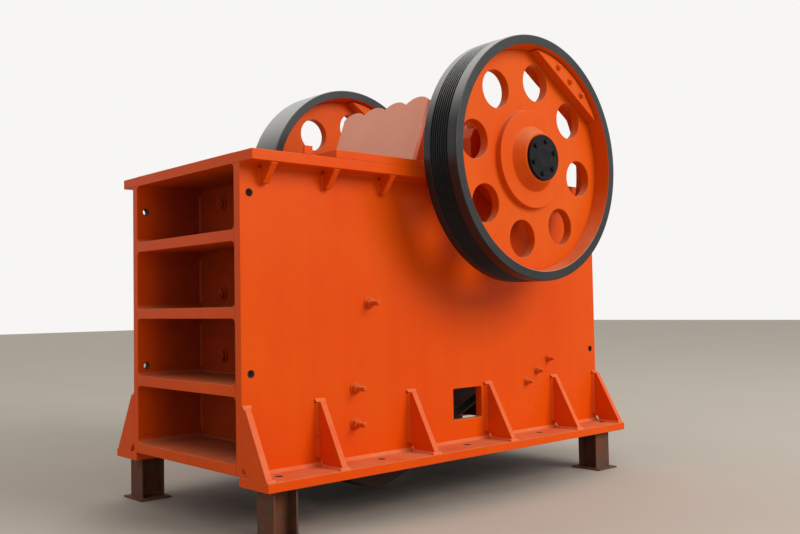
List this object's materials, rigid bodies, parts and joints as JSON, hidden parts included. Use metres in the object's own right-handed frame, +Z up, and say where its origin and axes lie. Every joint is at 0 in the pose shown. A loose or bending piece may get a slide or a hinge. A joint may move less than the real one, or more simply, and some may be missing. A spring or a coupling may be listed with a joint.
{
  "type": "jaw crusher",
  "caption": "Single toggle jaw crusher on short beam stands: a welded plate frame, fixed and swing jaws, an eccentric shaft, a grooved belt pulley and a plain flywheel.",
  "frame": {"origin": "on the ground, under the middle of the frame", "axes": "+X from the fixed jaw end to the toggle end, +Y from the pulley side to the flywheel side, +Z up"},
  "size_m": [4.04, 2.922, 3.7808],
  "materials": {
    "orange_paint": "satin orange enamel, dusty",
    "jaw_steel": "cast manganese steel, worn bright on the teeth",
    "machined_steel": "turned steel with a film of oil",
    "spring_steel": "black painted spring steel",
    "stand_steel": "rusty rolled steel",
    "black_paint": "black enamel"
  },
  "bodies": {
    "frame": {"pulley_side_plate": "orange_paint", "flywheel_side_plate": "orange_paint", "pulley_side_foot": "orange_paint", "flywheel_side_foot": "orange_paint", "foot_gussets": "orange_paint", "front_top_plate": "orange_paint", "pulley_side_flange": "orange_paint", "flywheel_side_flange": "orange_paint", "flange_gussets": "orange_paint", "flange_blocks": "orange_paint", "front_wall": "orange_paint", "front_ribs": "orange_paint", "fixed_jaw_plate": "jaw_steel", "pulley_side_cheek_plates": "jaw_steel", "flywheel_side_cheek_plates": "jaw_steel", "jaw_bolts": "orange_paint", "side_studs": "orange_paint", "pulley_side_bearing_seat": "orange_paint", "flywheel_side_bearing_seat": "orange_paint", "pulley_side_bearing": "orange_paint", "flywheel_side_bearing": "orange_paint", "rear_wall": "orange_paint", "rear_ribs": "orange_paint", "toggle_beam": "orange_paint", "toggle_block": "orange_paint", "toggle_plate": "machined_steel", "tension_rods": "machined_steel", "tension_springs": "spring_steel", "front_stand_pulley_side": "stand_steel", "front_stand_flywheel_side": "stand_steel", "rear_stand_pulley_side": "stand_steel", "rear_stand_flywheel_side": "stand_steel"},
    "rotor": {"eccentric_shaft": "machined_steel", "belt_pulley": "orange_paint", "belt_pulley_rim": "black_paint", "flywheel": "orange_paint", "flywheel_rim": "black_paint", "pulley_counterweights": "orange_paint", "flywheel_counterweights": "orange_paint", "shaft_caps": "black_paint"},
    "swing_jaw_body": {"swing_jaw_head": "orange_paint", "swing_jaw_front": "orange_paint", "swing_jaw_webs": "orange_paint", "swing_jaw_plate": "jaw_steel", "swing_jaw_guard": "orange_paint"}
  },
  "joints": [
    {"name": "shaft_spin", "type": "hinge", "parent": "frame", "child": "rotor", "pos_m": [0.515, 0, 2.761], "axis": [0, 1, 0], "continuous": true},
    {"name": "jaw_orbit", "type": "hinge", "parent": "rotor", "child": "swing_jaw_body", "pos_m": [0.50428, 0, 2.74411], "axis": [0, 1, 0], "continuous": true}
  ],
  "couplings": [
    {"joint": "jaw_orbit", "follows": "shaft_spin", "ratio": -1}
  ]
}
